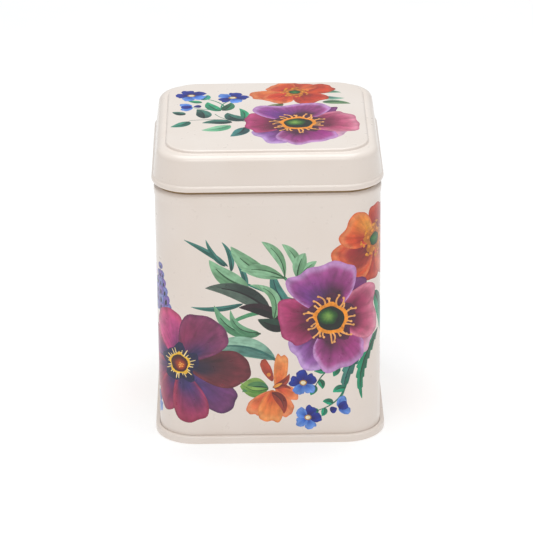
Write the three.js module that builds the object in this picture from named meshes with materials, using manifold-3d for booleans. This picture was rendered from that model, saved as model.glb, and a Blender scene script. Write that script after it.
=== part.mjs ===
// A small rounded-square tinplate canister for talcum powder: a lift-off slip lid over a drawn-in
// neck, a double-seamed bottom, and a perforated sifter with a turning shutter in the mouth.
// Millimetres, +Z up, origin at the centre of the foot, front face towards -Y.

import * as THREE from 'three'
import { mergeVertices } from 'three/addons/utils/BufferGeometryUtils.js'
import Module from 'manifold-3d'

const wasm = await Module()
wasm.setup()

// ---- Driving dimensions ----

const SHEET = 0.3 // tinplate thickness
const BODY_HALF = 39 // half width of the body across its flat faces
const BODY_CORNER = 13 // plan corner radius of the body
const CORNER_STEPS = 3 // half the facets of one plan corner

const SEAM_HALF = 40.58 // outside of the bottom double seam
const SEAM_HEIGHT = 2.7
const BASE_PANEL_Z = 2.45 // middle of the countersunk bottom panel
const BASE_STEP = 0.5 // height of the stiffening step in the bottom panel

const NECK_HALF = 37.9 // outside of the neck that the lid slips over
const NECK_Z = 93.9 // where the straight neck starts
const RIDGE_Z = 92.1 // crest of the soft roll under the lid
const RIDGE_OUT = 0.18 // how far the roll stands proud of the body
const ROLL_END_Z = 88.8 // where the roll has died away into the wall
const RIM_RADIUS = 0.9 // inward curl round the mouth
const RIM_CENTRE_Z = 104.5

const LID_TOP = 108
const LID_SHOULDER_Z = 106.9
const PANEL_HALF = 35.2 // foot of the raised lid panel
const PANEL_CORNER = 11.2
const SHOULDER_RADIUS = 2.6 // rounding between lid shoulder and skirt
const SKIRT_TOP_HALF = 38.3
const SKIRT_FOOT_HALF = 39.3
const BEAD_HALF_HEIGHT = 1.1 // hem bead along the foot of the skirt
const BEAD_HALF_WIDTH = 0.87
const BEAD_CENTRE = new THREE.Vector2(39.15, 95.55)

const WELL_HALF = 35.7 // inside of the sifter's well
const WELL_FLOOR_Z = 100.5
const WELL_FILLET = 0.6
const SIFTER_LIP = new THREE.Vector2(36.45, 105.5)
const HOLE_RADIUS = 0.7
const HOLE_FACETS = 8
const HOLE_RINGS = [8.5, 12.5, 16.5, 20.5]
const HOLES_PER_RING = 12

const SHUTTER_RADIUS = 26
const SHUTTER_Z = 100.6
const SHUTTER_THICKNESS = 0.3
const CLOSED_TURN = Math.PI / HOLES_PER_RING
const STOP_RADIUS = 23.9 // where the stop pip stands
const STOP_TURN = THREE.MathUtils.degToRad(225)
const PIP_RADIUS = 0.7
const SLOT_PLAY = THREE.MathUtils.degToRad(0.9)
const TAB_START = 8
const TAB_LENGTH = 9
const TAB_WIDTH = 0.6
const TAB_HEIGHT = 2.2
const TAB_TURN = THREE.MathUtils.degToRad(-90)

const RIVET_SHANK = 1.5
const RIVET_HEAD = 3.4
const RIVET_HEAD_HEIGHT = 0.9
const RIVET_TAIL = 2.6
const RUNNING_CLEARANCE = 0.08
const WASHER_RADIUS = 4.2
const WASHER_Z = 101
const WASHER_THICKNESS = 0.25
const ROUND_FACETS = 24
const CUT_FROM_Z = 99 // a cutter's reach, through the sifter floor and the shutter
const CUT_TO_Z = 102

const LOCK_SEAM_X = -22 // centre of the side seam on the back wall
const LOCK_SEAM_WIDTH = 3.6
const LOCK_SEAM_DEPTH = 0.6

// ---- Materials ----

function sheetMetal(color, roughness, metalness) {
  return new THREE.MeshStandardMaterial({ color, roughness, metalness })
}

const creamLacquer = () => sheetMetal(0xe9e2d6, 0.32, 0.1)
const bareTinplate = () => sheetMetal(0xc2c4c4, 0.35, 0.9)

// ---- Profiles: points are (half width, height) in the section through a flat face ----

function arc(centre, radiusOut, radiusUp, fromDegrees, toDegrees, steps) {
  const curve = new THREE.EllipseCurve(
    centre.x,
    centre.y,
    radiusOut,
    radiusUp,
    THREE.MathUtils.degToRad(fromDegrees),
    THREE.MathUtils.degToRad(toDegrees),
    fromDegrees > toDegrees,
  )
  return curve.getPoints(steps)
}

function at(half, z) {
  return new THREE.Vector2(half, z)
}

// The line down the middle of a bent sheet, thickened to both sides with mitred corners.
function thicken(centreline) {
  const side = (sign) =>
    centreline.map((point, i) => {
      const before = centreline[Math.max(i - 1, 0)]
      const after = centreline[Math.min(i + 1, centreline.length - 1)]
      const arriving = point.clone().sub(before).normalize()
      const leaving = after.clone().sub(point).normalize()
      if (i === 0) arriving.copy(leaving)
      if (i === centreline.length - 1) leaving.copy(arriving)
      const normal = at(-arriving.y - leaving.y, arriving.x + leaving.x).normalize()
      const mitre = 1 / Math.max(normal.dot(at(-leaving.y, leaving.x)), 0.5)
      return point.clone().addScaledVector(normal, (sign * mitre * SHEET) / 2)
    })
  return [...side(1), ...side(-1).reverse()]
}

// ---- Solids ----

const concentric = (half) => BODY_CORNER + half - BODY_HALF

// Corner radius on the lid: rounder round the raised panel, concentric with the body outside it.
function lidCorner(half) {
  const panel = PANEL_CORNER + half - PANEL_HALF
  const shoulder = LID_HALF_AT_SHOULDER
  const blend = THREE.MathUtils.clamp((half - PANEL_HALF) / (shoulder - PANEL_HALF), 0, 1)
  return THREE.MathUtils.lerp(panel, concentric(half), blend)
}

function planRing(half, z, cornerRadius) {
  const inset = half - cornerRadius
  const plan = new THREE.Path()
  for (let quarter = 0; quarter < 4; quarter++) {
    const turn = (quarter * Math.PI) / 2
    const x = inset * (quarter === 0 || quarter === 3 ? 1 : -1)
    const y = inset * (quarter < 2 ? 1 : -1)
    plan.absarc(x, y, cornerRadius, turn, turn + Math.PI / 2)
  }
  return plan.getPoints(CORNER_STEPS).map((p) => new THREE.Vector3(p.x, p.y, z))
}

// Sweeps a profile round the rounded-square plan. A closed profile gives a hoop; an open one
// starts and ends on flat panels, which are filled in to the centre.
function sweepRound(profile, { panels = false, corner = concentric } = {}) {
  const rings = profile.map((p) => planRing(p.x, p.y, corner(p.x)))
  const count = rings[0].length
  const points = rings.flat()
  const index = []
  const lastRing = panels ? rings.length - 1 : rings.length
  for (let r = 0; r < lastRing; r++) {
    const next = (r + 1) % rings.length
    for (let i = 0; i < count; i++) {
      const j = (i + 1) % count
      index.push(r * count + i, r * count + j, next * count + j)
      index.push(r * count + i, next * count + j, next * count + i)
    }
  }
  if (panels) {
    const first = points.push(new THREE.Vector3(0, 0, profile[0].y)) - 1
    const last = points.push(new THREE.Vector3(0, 0, profile.at(-1).y)) - 1
    const lastStart = (rings.length - 1) * count
    for (let i = 0; i < count; i++) {
      const j = (i + 1) % count
      index.push(first, j, i)
      index.push(last, lastStart + i, lastStart + j)
    }
  }
  return facingOut(new THREE.BufferGeometry().setFromPoints(points).setIndex(index))
}

// Six times the signed volume tells which way the faces point; inside-out faces are turned round.
function facingOut(geometry) {
  const position = geometry.getAttribute('position')
  const index = Array.from(geometry.index.array)
  const corner = (i) => new THREE.Vector3().fromBufferAttribute(position, index[i])
  let volume = 0
  for (let i = 0; i < index.length; i += 3) {
    volume += corner(i).dot(corner(i + 1).cross(corner(i + 2)))
  }
  return volume > 0 ? geometry : geometry.setIndex(index.reverse())
}

function toManifold(geometry) {
  const bare = geometry.clone()
  bare.deleteAttribute('normal')
  bare.deleteAttribute('uv')
  const merged = mergeVertices(bare, 1e-4)
  const vertProperties = new Float32Array(merged.getAttribute('position').array)
  const triVerts = new Uint32Array(merged.index.array)
  return new wasm.Manifold(new wasm.Mesh({ numProp: 3, vertProperties, triVerts }))
}

function toGeometry(solid) {
  const mesh = solid.getMesh()
  const geometry = new THREE.BufferGeometry()
  geometry.setAttribute('position', new THREE.BufferAttribute(mesh.vertProperties, 3))
  return geometry.setIndex(Array.from(mesh.triVerts))
}

function cut(geometry, tools) {
  const whole = toManifold(geometry)
  return toGeometry(tools.map(toManifold).reduce((rest, tool) => rest.subtract(tool), whole))
}

function join(...geometries) {
  return toGeometry(geometries.map(toManifold).reduce((sum, piece) => sum.add(piece)))
}

function upright(radius, fromZ, toZ, facets = ROUND_FACETS) {
  const cylinder = new THREE.CylinderGeometry(radius, radius, toZ - fromZ, facets)
  return cylinder.rotateX(Math.PI / 2).translate(0, 0, (fromZ + toZ) / 2)
}

function extrude(outline, depth) {
  return new THREE.ExtrudeGeometry(outline, { depth, bevelEnabled: false, curveSegments: 5 })
}

function named(name, geometry, material) {
  const mesh = new THREE.Mesh(geometry, material)
  mesh.name = name
  return mesh
}

// ---- Body wall ----

const WALL_MIDDLE = BODY_HALF - SHEET / 2
const NECK_MIDDLE = NECK_HALF - SHEET / 2
const BODY_HOOK = at(SEAM_HALF - 0.63, 2.05) // free edge of the body's hook inside the seam
const BODY_FLANGE_Z = 0.65

function bodyWall() {
  const hook = [BODY_HOOK, at(BODY_HOOK.x, BODY_FLANGE_Z), at(WALL_MIDDLE, BODY_FLANGE_Z)]
  const roll = [
    at(WALL_MIDDLE, ROLL_END_Z),
    at(WALL_MIDDLE + 0.4 * RIDGE_OUT, ROLL_END_Z + 1.3),
    at(WALL_MIDDLE + RIDGE_OUT, RIDGE_Z - 0.6),
    at(WALL_MIDDLE + RIDGE_OUT, RIDGE_Z + 0.3),
    at(NECK_MIDDLE + 0.1, NECK_Z - 0.5),
    at(NECK_MIDDLE, NECK_Z),
  ]
  const curlRadius = RIM_RADIUS - SHEET / 2
  const curlCentre = at(NECK_MIDDLE - curlRadius, RIM_CENTRE_Z)
  const curl = arc(curlCentre, curlRadius, curlRadius, 0, 265, 8)
  const tube = sweepRound(thicken([...hook, ...roll, ...curl]))
  return join(tube, lockSeam())
}

// The folded side seam stands inwards from the back wall; outside it lies flush, and it is only
// lapped at its ends.
function lockSeam() {
  const bottom = 4
  const top = 88
  const wallInside = BODY_HALF - SHEET
  const fold = new THREE.BoxGeometry(LOCK_SEAM_WIDTH, LOCK_SEAM_DEPTH, top - bottom)
  const embedded = SHEET / 2
  return fold.translate(LOCK_SEAM_X, wallInside + embedded - LOCK_SEAM_DEPTH / 2, (top + bottom) / 2)
}

// ---- Bottom end and its seam ----

const END_HOOK_HALF = BODY_HALF + 0.12 + SHEET / 2
const END_HOOK_TIP = 1.05

function baseEnd() {
  const wall = BODY_HALF - SHEET - 0.15 - SHEET / 2
  const outside = SEAM_HALF - SHEET / 2
  const top = SEAM_HEIGHT - SHEET / 2
  return sweepRound(
    thicken([
      at(29, BASE_PANEL_Z + BASE_STEP),
      at(30.4, BASE_PANEL_Z + BASE_STEP),
      at(31.6, BASE_PANEL_Z),
      ...arc(at(wall - 0.7, BASE_PANEL_Z - 0.7), 0.7, 0.7, 90, 0, 3),
      ...arc(at(wall + 0.35, 0.5), 0.35, 0.35, 180, 270, 3),
      ...arc(at(outside - 0.45, 0.6), 0.45, 0.45, 270, 360, 3),
      ...arc(at(outside - 0.4, top - 0.4), 0.4, 0.4, 0, 90, 3),
      at(END_HOOK_HALF, top),
      at(END_HOOK_HALF, END_HOOK_TIP),
    ]),
    { panels: true },
  )
}

// Lining compound fills the space between the two interlocked hooks.
function seamGasket() {
  const play = 0.04
  const inner = END_HOOK_HALF + SHEET / 2 + play
  const outer = BODY_HOOK.x - SHEET / 2 - play
  const bottom = 0.95
  const top = 1.95
  return sweepRound([at(inner, bottom), at(outer, bottom), at(outer, top), at(inner, top)])
}

// ---- Lid ----

const LID_HALF_AT_SHOULDER = SKIRT_TOP_HALF - SHOULDER_RADIUS

function lidShell() {
  const panelZ = LID_TOP - SHEET / 2
  const shoulderZ = LID_SHOULDER_Z - SHEET / 2
  const rise = panelZ - shoulderZ
  const roundingCentre = at(LID_HALF_AT_SHOULDER, LID_SHOULDER_Z - SHOULDER_RADIUS)
  const rounding = SHOULDER_RADIUS - SHEET / 2
  const beadOut = BEAD_HALF_WIDTH - SHEET / 2
  const beadUp = BEAD_HALF_HEIGHT - SHEET / 2
  const foot = SKIRT_FOOT_HALF - SHEET / 2
  const beadTop = BEAD_CENTRE.y + BEAD_HALF_HEIGHT
  return sweepRound(
    thicken([
      at(30, panelZ),
      ...arc(at(PANEL_HALF - rise, panelZ - rise / 2), rise / 2, rise / 2, 90, 20, 3),
      ...arc(at(PANEL_HALF, shoulderZ + rise / 2), rise / 2, rise / 2, 200, 270, 3),
      ...arc(roundingCentre, rounding, rounding, 90, 5, 5),
      at(foot, beadTop + 0.5),
      at(foot + 0.04, beadTop + 0.1),
      ...arc(BEAD_CENTRE, beadOut, beadUp, 75, -200, 11),
    ]),
    { panels: true, corner: lidCorner },
  )
}

// ---- Sifter ----

function rivetBore() {
  return upright(RIVET_SHANK + RUNNING_CLEARANCE, CUT_FROM_Z, CUT_TO_Z)
}

function shakerHoles() {
  const holes = []
  for (const radius of HOLE_RINGS) {
    for (let i = 0; i < HOLES_PER_RING; i++) {
      const turn = (2 * Math.PI * i) / HOLES_PER_RING
      const hole = upright(HOLE_RADIUS, CUT_FROM_Z, CUT_TO_Z, HOLE_FACETS)
      holes.push(hole.translate(radius * Math.cos(turn), radius * Math.sin(turn), 0))
    }
  }
  return holes
}

function sifterPlate() {
  const wall = WELL_HALF + SHEET / 2
  const floorZ = WELL_FLOOR_Z - SHEET / 2
  const fillet = WELL_FILLET + SHEET / 2
  const lipRadius = SIFTER_LIP.x - wall
  const plate = sweepRound(
    thicken([
      at(30, floorZ),
      ...arc(at(wall - fillet, floorZ + fillet), fillet, fillet, 270, 360, 3),
      ...arc(SIFTER_LIP, lipRadius, lipRadius, 180, 0, 7),
    ]),
    { panels: true },
  )
  const pip = upright(PIP_RADIUS, floorZ, SHUTTER_Z + 2 * SHUTTER_THICKNESS, 12)
  pip.translate(STOP_RADIUS * Math.cos(STOP_TURN), STOP_RADIUS * Math.sin(STOP_TURN), 0)
  return join(cut(plate, [rivetBore(), ...shakerHoles()]), pip)
}

// ---- Shutter, its washer and its rivet ----

// The arc-shaped slot that the sifter's pip runs in, which stops the shutter at open and closed.
function stopSlot() {
  const endPlay = Math.asin(PIP_RADIUS / STOP_RADIUS) + SLOT_PLAY
  const start = STOP_TURN - CLOSED_TURN - endPlay
  const end = STOP_TURN + endPlay
  const outline = new THREE.Shape()
  const halfWidth = PIP_RADIUS + 0.25
  outline.absarc(0, 0, STOP_RADIUS + halfWidth, start, end)
  outline.absarc(0, 0, STOP_RADIUS - halfWidth, end, start, true)
  return extrude(outline, CUT_TO_Z - CUT_FROM_Z).translate(0, 0, CUT_FROM_Z)
}

// A finger tab stands on the disc, along a radius between two rows of holes.
function fingerTab() {
  const round = TAB_HEIGHT * 0.45
  const foot = SHUTTER_THICKNESS / 2
  const outline = new THREE.Shape()
  outline.moveTo(TAB_START, -foot)
  outline.lineTo(TAB_START + TAB_LENGTH, -foot)
  outline.absarc(TAB_START + TAB_LENGTH - round, TAB_HEIGHT - round, round, 0, Math.PI / 2)
  outline.absarc(TAB_START + round, TAB_HEIGHT - round, round, Math.PI / 2, Math.PI)
  const tab = extrude(outline, TAB_WIDTH)
  tab.rotateX(Math.PI / 2).translate(0, TAB_WIDTH / 2, SHUTTER_Z + SHUTTER_THICKNESS)
  return tab.rotateZ(TAB_TURN)
}

function shutterDisc() {
  const disc = upright(SHUTTER_RADIUS, SHUTTER_Z, SHUTTER_Z + SHUTTER_THICKNESS, 2 * ROUND_FACETS)
  const holes = shakerHoles().map((hole) => hole.rotateZ(CLOSED_TURN))
  return join(cut(disc, [rivetBore(), stopSlot(), ...holes]), fingerTab())
}

function shutterWasher() {
  const ring = upright(WASHER_RADIUS, WASHER_Z, WASHER_Z + WASHER_THICKNESS)
  return cut(ring, [rivetBore()])
}

function shutterRivet() {
  const headZ = WASHER_Z + WASHER_THICKNESS + 0.05
  const tailZ = WELL_FLOOR_Z - SHEET - 0.05
  const profile = [
    at(0, tailZ - 0.5),
    at(RIVET_TAIL - 0.3, tailZ - 0.5),
    at(RIVET_TAIL, tailZ - 0.25),
    at(RIVET_TAIL, tailZ),
    at(RIVET_SHANK, tailZ),
    at(RIVET_SHANK, headZ),
    ...arc(at(0, headZ), RIVET_HEAD, RIVET_HEAD_HEIGHT, 0, 90, 5),
  ]
  const turned = new THREE.LatheGeometry(profile, ROUND_FACETS)
  return toGeometry(toManifold(turned.rotateX(Math.PI / 2)))
}

// ---- The canister ----

const tin = new THREE.Group()
tin.add(
  named('body_wall', bodyWall(), creamLacquer()),
  named('base_end', baseEnd(), creamLacquer()),
  named('seam_gasket', seamGasket(), sheetMetal(0x6f7375, 0.8, 0)),
  named('sifter_plate', sifterPlate(), bareTinplate()),
  named('shutter_washer', shutterWasher(), bareTinplate()),
  named('shutter_rivet', shutterRivet(), sheetMetal(0xb8babb, 0.3, 1)),
)

const shutter = new THREE.Group()
shutter.add(named('shutter_disc', shutterDisc(), bareTinplate()))

const lid = new THREE.Group()
lid.add(named('lid_shell', lidShell(), creamLacquer()))

const canister = new THREE.Group()
canister.add(tin, shutter, lid)

export default canister
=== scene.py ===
"""Looks for a rounded-square talcum powder tin: cream lacquer printed with garden flowers,
tinplate insides, and soft studio light.

Surfaces are worked out in millimetres and become metres when a mesh is made. The wall is printed
flat and then bent round, as tinplate is: u runs along it from the middle of the front face,
anticlockwise seen from above, and z runs up.
"""

import math

import bpy
import numpy as np
from mathutils import Matrix, Vector
from mathutils.geometry import delaunay_2d_cdt


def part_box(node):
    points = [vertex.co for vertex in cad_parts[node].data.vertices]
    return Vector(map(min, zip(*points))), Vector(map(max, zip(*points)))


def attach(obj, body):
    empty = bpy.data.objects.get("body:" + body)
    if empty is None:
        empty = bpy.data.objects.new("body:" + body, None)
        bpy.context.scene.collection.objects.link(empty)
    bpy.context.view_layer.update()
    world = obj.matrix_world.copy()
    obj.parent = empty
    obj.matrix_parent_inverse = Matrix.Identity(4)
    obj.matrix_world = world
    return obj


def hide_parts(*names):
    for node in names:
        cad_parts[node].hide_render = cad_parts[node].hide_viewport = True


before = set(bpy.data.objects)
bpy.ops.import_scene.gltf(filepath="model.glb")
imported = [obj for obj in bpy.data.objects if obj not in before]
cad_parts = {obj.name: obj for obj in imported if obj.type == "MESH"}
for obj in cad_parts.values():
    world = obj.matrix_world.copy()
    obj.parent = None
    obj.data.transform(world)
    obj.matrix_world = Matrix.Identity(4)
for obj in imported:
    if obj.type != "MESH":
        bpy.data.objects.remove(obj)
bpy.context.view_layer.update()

# ---- Sizes, in millimetres ----

MM = 0.001


def node_box(node):
    low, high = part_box(node)
    return np.array(low) / MM, np.array(high) / MM


SEAM_HALF = node_box("base_end")[1][0]
LID_TOP = node_box("lid_shell")[1][2]
LID_FOOT = node_box("lid_shell")[0][2]
MOUTH_TOP = node_box("body_wall")[1][2]
SHUTTER_LOW, SHUTTER_TOP = (corner[2] for corner in node_box("shutter_disc"))
SHUTTER_RADIUS = node_box("shutter_disc")[1][0]
WASHER_LOW, WASHER_HIGH = (corner[2] for corner in node_box("shutter_washer"))
RIVET_LOW, RIVET_HIGH = (corner[2] for corner in node_box("shutter_rivet"))

SHEET = 0.3
BODY_HALF = SEAM_HALF - 1.58
BODY_CORNER = 13.0
FLAT = 2 * (BODY_HALF - BODY_CORNER)
QUARTER = FLAT + BODY_CORNER * math.pi / 2
HALF_TURN = 2 * QUARTER
GIRTH = 4 * QUARTER

HOOK_INSET = 0.63  # the wall's foot, hooked into the bottom seam
HOOK_LOW, HOOK_TOP = 0.65, 2.05
CURL = 0.75  # radius of the curled mouth

NECK_HALF = 37.9
NECK_Z = 93.9
RIDGE_Z = 92.1
RIDGE_OUT = 0.28
PRINT_TOP = 88.8
NECK_SHADE_LOW = 93.5  # the cream stops here; the neck above has a gold size coat, made darker as painted shade for the gap under the lid's bead
PRINT_FOOT = 1.2

PANEL_HALF = 35.2
PANEL_CORNER = 11.2
SHOULDER_Z = LID_TOP - 1.1
SHOULDER_RADIUS = 2.6
SHOULDER_HALF = 35.7
SKIRT_FOOT_HALF = 39.3
BEAD_CENTRE_HALF = 39.15
BEAD_HALF_WIDTH = 0.87
BEAD_HALF_HEIGHT = 1.1
LID_PRINT_HALF = 33.7

WELL_HALF = 35.7
WELL_FLOOR = SHUTTER_LOW - 0.1
HOLE_RADIUS = 0.7
HOLE_RINGS = (8.5, 12.5, 16.5, 20.5)
HOLES_PER_RING = 12
STOP_RADIUS = 23.9
STOP_TURN = math.radians(225)
PIP_RADIUS = 0.7
PIP_HEIGHT = 0.7
CLOSED_TURN = math.pi / HOLES_PER_RING
RIVET_BORE = 1.58
RIVET_SHANK = 1.5
RIVET_HEAD = node_box("shutter_rivet")[1][0]
RIVET_TAIL = 2.6
WASHER_RADIUS = node_box("shutter_washer")[1][0]

LOCK_SEAM_U = -HALF_TURN + 22.0  # the side seam on the back face, where the printed sheet begins
FOLD_WIDTH = 3.6
FOLD_DEPTH = 0.45
FOLD_LOW, FOLD_HIGH = 4.0, 88.0
GROOVE_WIDTH = 0.16
GROOVE_DEPTH = 0.1
SEAM_MARGIN = 0.35  # bare lacquer on each side of the seam

# The photograph's viewpoint: yaw, then pitch, then a slight roll about the line of sight.
CAMERA_TURNS = ((-0.0068, "Z"), (math.radians(67.33), "X"), (-0.0111, "Z"))
CAMERA_PLACE = (-0.0073, -0.9987, 0.4677)  # metres
CAMERA_LENS = 204.3

# How strongly the paper and the sky light the tin.
FLOOR_GLOW = 0.44
SKY_GLOW = 0.38

# ---- The rounded-square plan ----


def around(u):
    """The corner-box direction and the outward normal at u along the wall."""
    u = np.asarray(u, float) + FLAT / 2
    face = np.floor(u / QUARTER)
    along = u - face * QUARTER
    turn = np.clip((along - FLAT) / BODY_CORNER, 0, math.pi / 2)
    side = np.clip(2 * along / FLAT - 1, -1, 1)
    cos, sin = np.cos(face * math.pi / 2), np.sin(face * math.pi / 2)

    def turned(x, y):
        return np.stack([x * cos - y * sin, x * sin + y * cos], -1)

    return turned(side, -np.ones_like(side)), turned(np.sin(turn), -np.cos(turn))


def ring(half, z, u, corner):
    box, normal = around(u)
    plan = (half - corner) * box + corner * normal
    return level(plan, z)


def concentric(half):
    return BODY_CORNER + half - BODY_HALF


def lid_corner(half):
    """Rounder round the raised panel, concentric with the body from the shoulder outwards."""
    blend = np.clip((half - PANEL_HALF) / (SHOULDER_HALF - PANEL_HALF), 0, 1)
    return (1 - blend) * (PANEL_CORNER + half - PANEL_HALF) + blend * concentric(half)


def ring_stations():
    """The places round the wall where every swept ring has a point, starting at the lock seam."""
    stations = [LOCK_SEAM_U + np.array([0, GROOVE_WIDTH, FOLD_WIDTH, FOLD_WIDTH + 0.1])]
    stations.append(LOCK_SEAM_U - np.array([GROOVE_WIDTH, 0.1]))
    for face in range(4):
        start = face * QUARTER - FLAT / 2
        stations.append(np.linspace(start, start + FLAT, 20, endpoint=False))
        stations.append(np.linspace(start + FLAT, start + QUARTER, 24, endpoint=False))
    past_seam = np.mod(np.concatenate(stations) - LOCK_SEAM_U, GIRTH)
    return LOCK_SEAM_U + np.unique(past_seam.round(6))


STATIONS = ring_stations()

# ---- Section profiles: points are (half width, height) ----


def arc(centre, out, up, start, stop, steps):
    angle = np.radians(np.linspace(start, stop, steps + 1))
    return np.column_stack([centre[0] + out * np.cos(angle), centre[1] + up * np.sin(angle)])


def unit(vectors):
    return vectors / np.linalg.norm(vectors, axis=1)[:, None]


def headings(line):
    """The directions in which a line arrives at and leaves each of its points."""
    steps = unit(np.diff(line, axis=0))
    return np.vstack([steps[:1], steps]), np.vstack([steps, steps[-1:]])


def level(plan, z):
    """Points at one height over a flat plan."""
    return np.column_stack([plan, np.full(len(plan), z)])


def thicken(*pieces):
    """Both faces of a bent sheet from the line down its middle, as (points, normals) pairs."""
    line = np.vstack([np.atleast_2d(piece) for piece in pieces])
    arriving, leaving = headings(line)
    normal = unit(np.column_stack([-(arriving + leaving)[:, 1], (arriving + leaving)[:, 0]]))
    facing = normal[:, 1] * leaving[:, 0] - normal[:, 0] * leaving[:, 1]
    reach = (SHEET / 2 / np.clip(facing, 0.5, 1))[:, None] * normal
    return (line + reach, normal), (line - reach, -normal)


# ---- Gathering a surface and making its mesh ----

UP, DOWN = (0, 0, 1), (0, 0, -1)


class Surface:
    """Faces with their points, corner normals and finish, gathered before one mesh is made."""

    def __init__(self):
        self.points, self.blocks, self.count = [], [], 0

    def add_points(self, points):
        self.points.append(points)
        self.count += len(points)
        return np.arange(self.count - len(points), self.count)

    def add_faces(self, faces, normals, finish, paint=None):
        """Painted faces keep the normals they come with; others turn crisp at sharp bends."""
        faces = np.asarray(faces)
        smooth = paint is not None
        paint = paint if smooth else np.zeros((*faces.shape, 9))
        self.blocks.append((faces, normals, finish, paint, smooth))

    def loft(self, rings, leans, finish):
        """A skin of quads from each closed ring of points to the next."""
        index = [self.add_points(points) for points in rings]
        for i in range(len(rings) - 1):
            near, far, lean, next_lean = index[i], index[i + 1], leans[i], leans[i + 1]
            quads = np.column_stack([near, np.roll(near, -1), np.roll(far, -1), far])
            corners = [lean, np.roll(lean, -1, 0), np.roll(next_lean, -1, 0), next_lean]
            self.add_faces(quads, np.stack(corners, 1), finish)

    def sweep(self, profile, normals, corner, finish, shift=None):
        """Runs a section round the tin; shift moves a ring's points in or out."""
        _, outward = around(STATIONS)
        rings, leans = [], []
        for (half, z), (out, up) in zip(profile, normals):
            points = ring(half, z, STATIONS, corner(half))
            if shift is not None:
                points[:, :2] += shift(z)[:, None] * outward
            rings.append(points)
            leans.append(level(out * outward, up))
        self.loft(rings, leans, finish)

    def turn(self, profile, finish, centre=(0, 0), facets=48):
        """Turns a section about a vertical axis; its solid side is on the left of its path."""
        path = unit(sum(headings(np.array(profile, float))))
        spokes = circle((0, 0), 1, facets)
        rings = [level(centre + r * spokes, z) for r, z in profile]
        leans = [level(z * spokes, -r) for r, z in path]
        self.loft(rings, leans, finish)
        return rings

    def sheet(self, faces, corner, finishes, edge):
        """Sweeps both faces of a bent sheet and the strip that joins them at its last edge."""
        for (profile, normals), finish in zip(faces, finishes):
            self.sweep(profile, normals, corner, finish)
        last = [(profile[-1], normals[-1]) for profile, normals in faces]
        self.sweep(*zip(*last), corner, edge)

    def flat(self, faces, facing, finish):
        self.add_faces(faces, np.broadcast_to(np.array(facing, float), (*faces.shape, 3)), finish)

    def fan(self, rim, facing, finish):
        """Closes a flat ring with triangles round its middle."""
        index = self.add_points(np.vstack([rim, rim.mean(0)]))
        hub = np.full(len(rim), index[-1])
        self.flat(np.column_stack([hub, index[:-1], np.roll(index[:-1], -1)]), facing, finish)

    def plate(self, rim, holes, dents, low, high, finish):
        """Both faces of a flat sheet with holes, and the walls of the holes.

        A dent is left open in the upper face only."""
        plane, triangles, top = triangulate(rim, [*holes, *dents])
        whole = top < 0
        for z, up, kept in ((high, UP, whole), (low, DOWN, whole | (top >= len(holes)))):
            index = self.add_points(level(plane, z))
            self.flat(index[triangles[kept]], up, finish)
        for hole in holes:
            self.wall(hole, low, high, -1, finish)

    def wall(self, outline, low, high, sign, finish):
        """An upright wall on an anticlockwise outline, facing out of it if sign is 1."""
        along = np.roll(outline, -1, 0) - np.roll(outline, 1, 0)
        lean = level(unit(sign * np.column_stack([along[:, 1], -along[:, 0]])), 0)
        self.loft([level(outline, z) for z in (low, high)], [lean, lean], finish)

    def make(self, name, finishes):
        points = np.vstack(self.points)
        rounded = points.round(4)
        _, first, same = np.unique(rounded, axis=0, return_index=True, return_inverse=True)
        points, same = points[first], same.ravel()
        faces, loops, normals, paint = [], [], [], []
        for block, lean, finish, ink, smooth in self.blocks:
            block = same[block]
            whole = np.all(block != np.roll(block, 1, 1), 1)
            block, lean, ink = block[whole], np.array(lean)[whole], ink[whole]
            corners = points[block]
            flat = np.cross(corners[:, 1] - corners[:, 0], corners[:, 2] - corners[:, 0])
            flat /= np.maximum(np.linalg.norm(flat, axis=1), 1e-12)[:, None]
            if np.einsum("ij,ij->", flat, lean.sum(1)) < 0:
                block, lean, ink, flat = block[:, ::-1], lean[:, ::-1], ink[:, ::-1], -flat
            if not smooth:
                crisp = np.einsum("ij,ikj->ik", flat, lean) < 0.8
                lean = np.where(crisp[..., None], flat[:, None], lean)
            faces.extend(map(tuple, block.tolist()))
            loops.extend([finishes.index(finish)] * len(block))
            normals.append(lean.reshape(-1, 3))
            paint.append(ink.reshape(-1, 9))
        mesh = bpy.data.meshes.new(name)
        mesh.from_pydata((points * MM).tolist(), [], faces)
        for finish in finishes:
            mesh.materials.append(finish)
        mesh.polygons.foreach_set("material_index", loops)
        paint = np.vstack(paint)
        if paint.any():
            for i, attribute in enumerate(("ink", "ink_dark", "ink_grain")):
                layer = mesh.attributes.new(attribute, "FLOAT_VECTOR", "CORNER")
                layer.data.foreach_set("vector", paint[:, 3 * i : 3 * i + 3].ravel())
        mesh.shade_smooth()
        mesh.normals_split_custom_set(np.vstack(normals).tolist())
        return put(name, mesh)


def put(name, data):
    """A new object in the scene."""
    thing = bpy.data.objects.new(name, data)
    bpy.context.collection.objects.link(thing)
    return thing


def circle(centre, radius, count):
    turn = np.linspace(0, 2 * math.pi, count, endpoint=False)
    return np.array(centre) + radius * np.column_stack([np.cos(turn), np.sin(turn)])


def inside(points, outline):
    """Which points lie within a closed outline, by counting crossings."""
    x, y = points[:, :1], points[:, 1:]
    x0, y0 = outline[:, 0], outline[:, 1]
    x1, y1 = np.roll(x0, -1), np.roll(y0, -1)
    spans = (y0 > y) != (y1 > y)
    rise = np.where(y1 == y0, 1e-9, y1 - y0)
    return (spans & (x < (x1 - x0) * (y - y0) / rise + x0)).sum(1) % 2 == 1


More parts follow.
